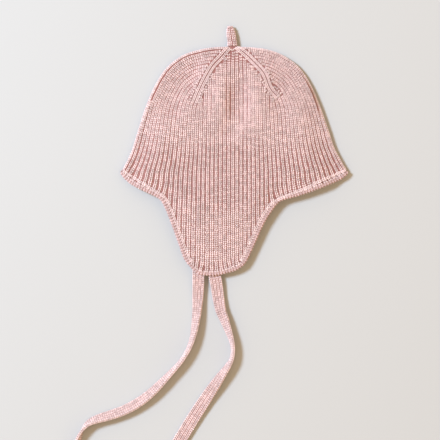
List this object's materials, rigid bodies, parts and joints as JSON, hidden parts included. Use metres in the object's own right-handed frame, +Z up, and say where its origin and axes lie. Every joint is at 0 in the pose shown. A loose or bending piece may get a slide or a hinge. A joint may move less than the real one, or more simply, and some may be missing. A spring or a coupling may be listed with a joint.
{
  "type": "baby bonnet",
  "caption": "Rib-knitted baby bonnet with a flared brim, earflaps, a knitted stem on the crown and long flat ties, lying folded flat on a surface.",
  "frame": {"origin": "on the surface that the bonnet lies on, under the middle of the box of the bonnet without its ties", "axes": "+X to the right across the brim, +Y towards the stem on the crown, +Z up from the surface"},
  "size_m": [0.2406, 0.3712, 0.0133],
  "materials": {
    "body_knit": "matt dusty pink fine-gauge knit in one by one rib, soft fibres, darker grooves between the ribs",
    "edging_knit": "matt dusty pink slip-stitch edging in the same yarn",
    "stem_knit": "matt dusty pink knitted cord with lengthwise stitch columns",
    "tie_knit": "matt dusty pink narrow flat knit with lengthwise stitch columns"
  },
  "bodies": {
    "root": {"bonnet_body": "body_knit", "hem_edging": "edging_knit", "crown_stem": "stem_knit", "tie_left": "tie_knit", "tie_right": "tie_knit"}
  },
  "joints": []
}
